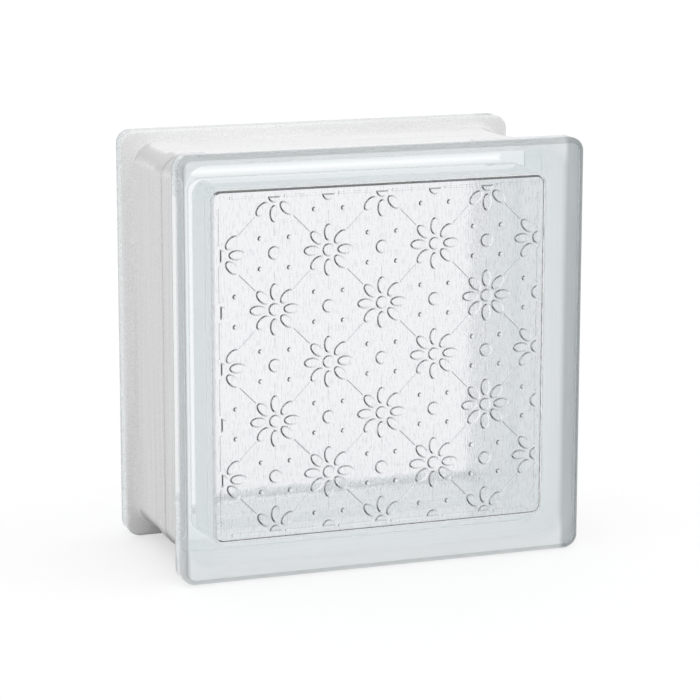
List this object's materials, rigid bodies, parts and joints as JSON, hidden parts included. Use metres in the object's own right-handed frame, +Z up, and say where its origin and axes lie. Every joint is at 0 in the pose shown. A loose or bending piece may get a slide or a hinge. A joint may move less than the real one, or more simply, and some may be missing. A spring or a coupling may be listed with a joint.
{
  "type": "glass block",
  "caption": "Square hollow glass block with raised lips, a coated mortar channel round its edge and a moulded daisy lattice inside its front pane.",
  "frame": {"origin": "on the ground under the middle of the block, which stands on its two lips", "axes": "+X to the right along the width, +Y from the front face to the back face, +Z up along the height"},
  "size_m": [0.19, 0.1, 0.19],
  "materials": {
    "glass": "clear pressed glass, smooth outside, with a thin white coating on the floor of the mortar channel"
  },
  "bodies": {
    "root": {"glass_block": "glass"}
  },
  "joints": []
}
